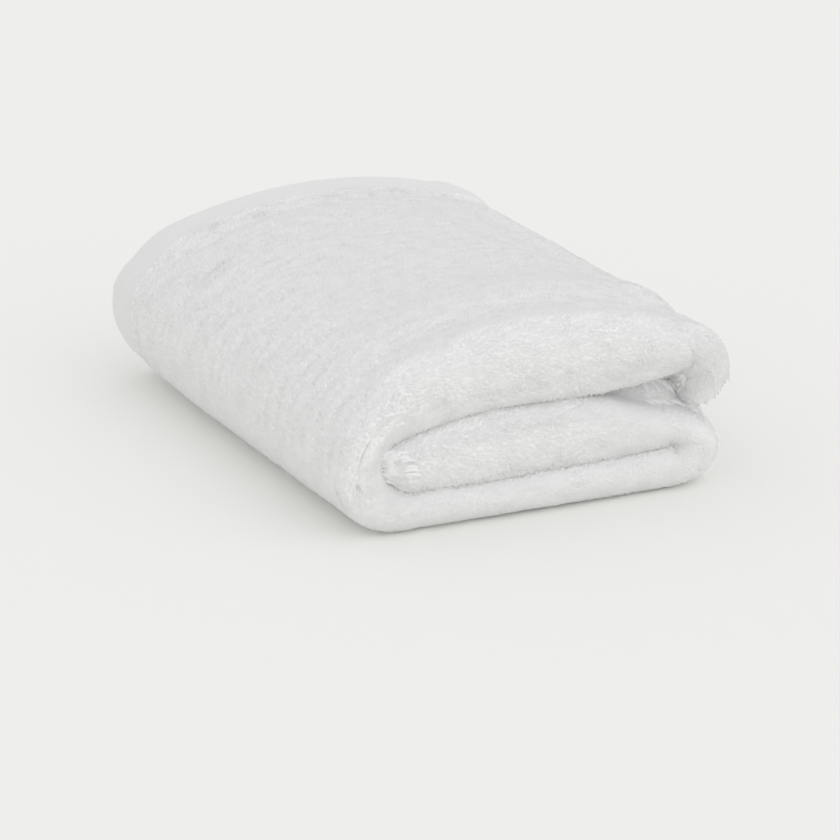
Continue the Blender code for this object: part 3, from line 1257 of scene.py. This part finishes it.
@dataclass
class Locks:
    """Loose locks of pile, where the cloth is bent hard or its end is cut."""

    sheet: Sheet
    finish: Finish = Finish("terry_locks", 0.93, 0.91, 2500, 0.1 * MM)
    jitter: float = 0.55 * MM
    sizes: tuple[float, float] = (0.75, 1.2)
    seed: int = 31
    rows: tuple[LockRow, ...] = (
        # Along the two ridges of the corner, and where they meet.
        LockRow(((308, 247.6), (324, 249.3)), ((310.2, 248.4), (326.2, 250.1)), 9, 0.4, 0.3, 0.7),
        LockRow(((312, 252.8), (325, 254)), ((314.6, 253.8), (327.6, 255)), 7, 0.5, 0.3, 0.85),
        LockRow(((326, 249.5), (335, 253)), ((329, 250.9), (338, 254.4)), 5, 0.7, 0.4, 0.85),
        LockRow(((326, 252.5), (333, 255.5)), ((329, 253.9), (336, 256.9)), 4, 0.7, 0.4, 0.8),
        # Round the dent.
        LockRow(((305.5, 247), (305, 251.5)), ((307, 248), (306.5, 252.5)), 4, 0.6, 0.3, 0.7),
        LockRow(((302, 246), (299, 246)), ((300.5, 245.2), (297.5, 245.2)), 3, 0.6, 0.3, 0.7),
        LockRow(((295.5, 248), (295, 252)), ((294, 249), (293.5, 253)), 3, 0.5, 0.3, 0.7),
        # Between the wrap and the tucked end, and the curls of the end.
        LockRow(((318, 262), (300, 264)), ((2, 243), (4, 258)), 12, 1.0, 0, 1.7),
        LockRow(((315, 261), (304, 262)), ((3, 247), (3, 257)), 6, 0.9, 0, 2.6),
        LockRow(((0.5, 249), (3.5, 256)), ((8, 248.5), (13, 257)), 6, 1.5, 1.9, 0.95),
        LockRow(((1, 247.5), (6, 259)), ((5, 247), (12, 259.5)), 7, 1.1, 1.2, 0.8),
        # In the hollow beside the hanging end, where the first row is its far side.
        LockRow(((462, 274), (484, 276)), ((122, 225), (138, 226)), 8, 0.0, 0.0, 3.2),
        LockRow(((460, 266), (480, 262)), ((484, 280), (499, 270)), 9, 0.6, 0, 1.3),
        LockRow(((466, 262), (496, 268)), ((471, 266), (500, 273)), 9, 1.0, 0.5, 0.9),
        LockRow(((118, 229), (131, 228)), ((121, 233), (134, 233)), 6, 1.2, 0.6, 1.1),
        LockRow(((116, 235), (136, 234)), ((120, 239), (140, 239)), 8, 1.0, 0.5, 1.0),
        # Across the front of the gap between the wrap and the tucked end.
        LockRow(((320, 258), (297, 260.5)), ((1.5, 242.5), (7, 260)), 26, 0.5, 0, 1.1),
    )

    def build(self) -> bpy.types.Object:
        """Makes the locks: each a ball drawn out along the way from its root to its tip.

        Returns:
            All the locks in one joined piece.
        """
        rng = np.random.default_rng(self.seed)
        bm = bmesh.new()
        chart = bm.loops.layers.uv.new("cloth")
        for row in self.rows:
            for share in np.linspace(0, 1, row.count):
                ends = np.array([row.roots, row.tips]) * MM
                flat = ends[:, 0] + share * (ends[:, 1] - ends[:, 0])
                flat = flat + rng.normal(0, self.jitter, flat.shape)
                made = bmesh.ops.create_icosphere(bm, subdivisions=2, radius=1)
                self.draw_out(made["verts"], row, flat, rng.uniform(*self.sizes), chart)
        bmesh.ops.recalc_face_normals(bm, faces=bm.faces)
        mesh = take_mesh(bm, "loose_locks")
        mesh.shade_smooth()
        mesh.materials.append(self.finish.material())
        return show("loose_locks", mesh)

    def draw_out(
        self,
        verts: list[bmesh.types.BMVert],
        row: LockRow,
        flat: np.ndarray,
        size: float,
        chart: bmesh.types.BMLayerItem,
    ) -> None:
        """Draws a ball out into one lock.

        Args:
            verts: the points of the ball, which has radius 1.
            row: the row that the lock is in.
            flat: where the lock's root and tip lie on the flat cloth.
            size: how thick the lock is beside the others of its row.
            chart: the layer for its flat layout.
        """
        spots = self.sheet.survey.spots(flat)
        root, tip = spots.at_level(FACE)
        side = unit(np.cross(spots.normal.sum(axis=0), tip - root))
        upward = unit(np.cross(tip - root, side))
        radius = size * row.radius
        for vert in verts:
            share = (vert.co.z + 1) / 2
            arch = math.sin(math.pi * share)
            aside = MM * (row.bow * arch + radius * vert.co.x)
            rise = MM * (row.lift * arch + radius * vert.co.y)
            for loop in vert.link_loops:
                loop[chart].uv = flat[0] + share * (flat[1] - flat[0])
            vert.co = root + share * (tip - root) + side * aside + upward * rise


@dataclass(frozen=True)
class Studio:
    """A plain pale floor, soft light, and the camera."""

    azimuth: float = -25.6
    elevation: float = 17.36
    distance: float = 2.0
    pixels: float = 840
    focal_pixels: float = 4620
    centre_pixel: tuple[float, float] = (414.2, 334.2)
    sensor: float = 36
    floor_size: float = 8
    floor_tone: tuple[float, float, float] = (0.935, 0.935, 0.915)
    sky: float = 0.86
    key: float = 0.27
    key_spread: float = 70
    key_azimuth: float = 30
    key_elevation: float = 42
    key_distance: float = 2
    bounces: int = 40

    @staticmethod
    def toward(azimuth: float, elevation: float) -> Vector:
        """The direction of a place round the towel, from its azimuth and elevation in degrees."""
        a, e = math.radians(azimuth), math.radians(elevation)
        return Vector((math.sin(a) * math.cos(e), -math.cos(a) * math.cos(e), math.sin(e)))

    def camera(self) -> None:
        """Sets the camera up where it sees the towel from the picture's side."""
        low, high = CAD_BOX
        centre = (Vector(low) + Vector(high)) / 2
        back = self.toward(self.azimuth, self.elevation)
        right = Vector((0, 0, 1)).cross(back).normalized()
        upward = back.cross(right)
        scale = self.distance / self.focal_pixels
        aside = (self.pixels / 2 - self.centre_pixel[0]) * scale
        below = (self.pixels / 2 - self.centre_pixel[1]) * scale
        aim = centre + right * aside - upward * below
        data = bpy.data.cameras.new("camera")
        data.sensor_width = self.sensor
        data.lens = self.focal_pixels / self.pixels * self.sensor
        camera = show("camera", data)
        camera.location = centre + back * self.distance
        camera.rotation_mode = "QUATERNION"
        camera.rotation_quaternion = (aim - camera.location).to_track_quat("-Z", "Y")
        bpy.context.scene.camera = camera

    def floor(self) -> None:
        """Lays the floor."""
        bm = bmesh.new()
        bmesh.ops.create_grid(bm, x_segments=1, y_segments=1, size=self.floor_size / 2)
        mesh = take_mesh(bm, "floor")
        material = bpy.data.materials.new("pale_floor")
        material.use_nodes = True
        shader = material.node_tree.nodes["Principled BSDF"]
        dial(shader, {"Base Color": (*self.floor_tone, 1), "Roughness": 1})
        dial(shader, {"Specular IOR Level": 0})
        mesh.materials.append(material)
        show("floor", mesh)

    def light(self) -> None:
        """Hangs a wide soft light above, in a pale room."""
        scene = bpy.context.scene
        world = bpy.data.worlds.new("pale_room")
        world.use_nodes = True
        sky = world.node_tree.nodes["Background"]
        dial(sky, {"Color": (1, 1, 1, 1), "Strength": self.sky})
        scene.world = world
        scene.view_settings.view_transform = "Standard"
        scene.cycles.max_bounces = self.bounces
        scene.cycles.diffuse_bounces = self.bounces
        lamp = bpy.data.lights.new("softbox", "SUN")
        lamp.angle = math.radians(self.key_spread)
        lamp.energy = self.key
        softbox = show("softbox", lamp)
        softbox.location = self.key_distance * self.toward(self.key_azimuth, self.key_elevation)
        softbox.rotation_mode = "QUATERNION"
        softbox.rotation_quaternion = (-softbox.location).to_track_quat("-Z", "Y")


def main() -> None:
    """Builds the towel and the studio."""
    logging.basicConfig(level=logging.INFO, format="%(name)s: %(message)s")
    towel = FoldedTowel()
    sheet = Sheet(towel, Relief(), SHOWING)
    cloth = sheet.build()
    LOG.info("%s: %d faces", cloth.name, len(cloth.data.polygons))
    pile = [*Pile(sheet).build(), Locks(sheet).build()]
    for piece in pile:
        LOG.info("%s: %d faces", piece.name, len(piece.data.polygons))
    for piece in (cloth, *pile):
        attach(piece, BODY)
    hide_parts(NODE)
    studio = Studio()
    studio.floor()
    studio.light()
    studio.camera()


if __name__ == "__main__":
    main()
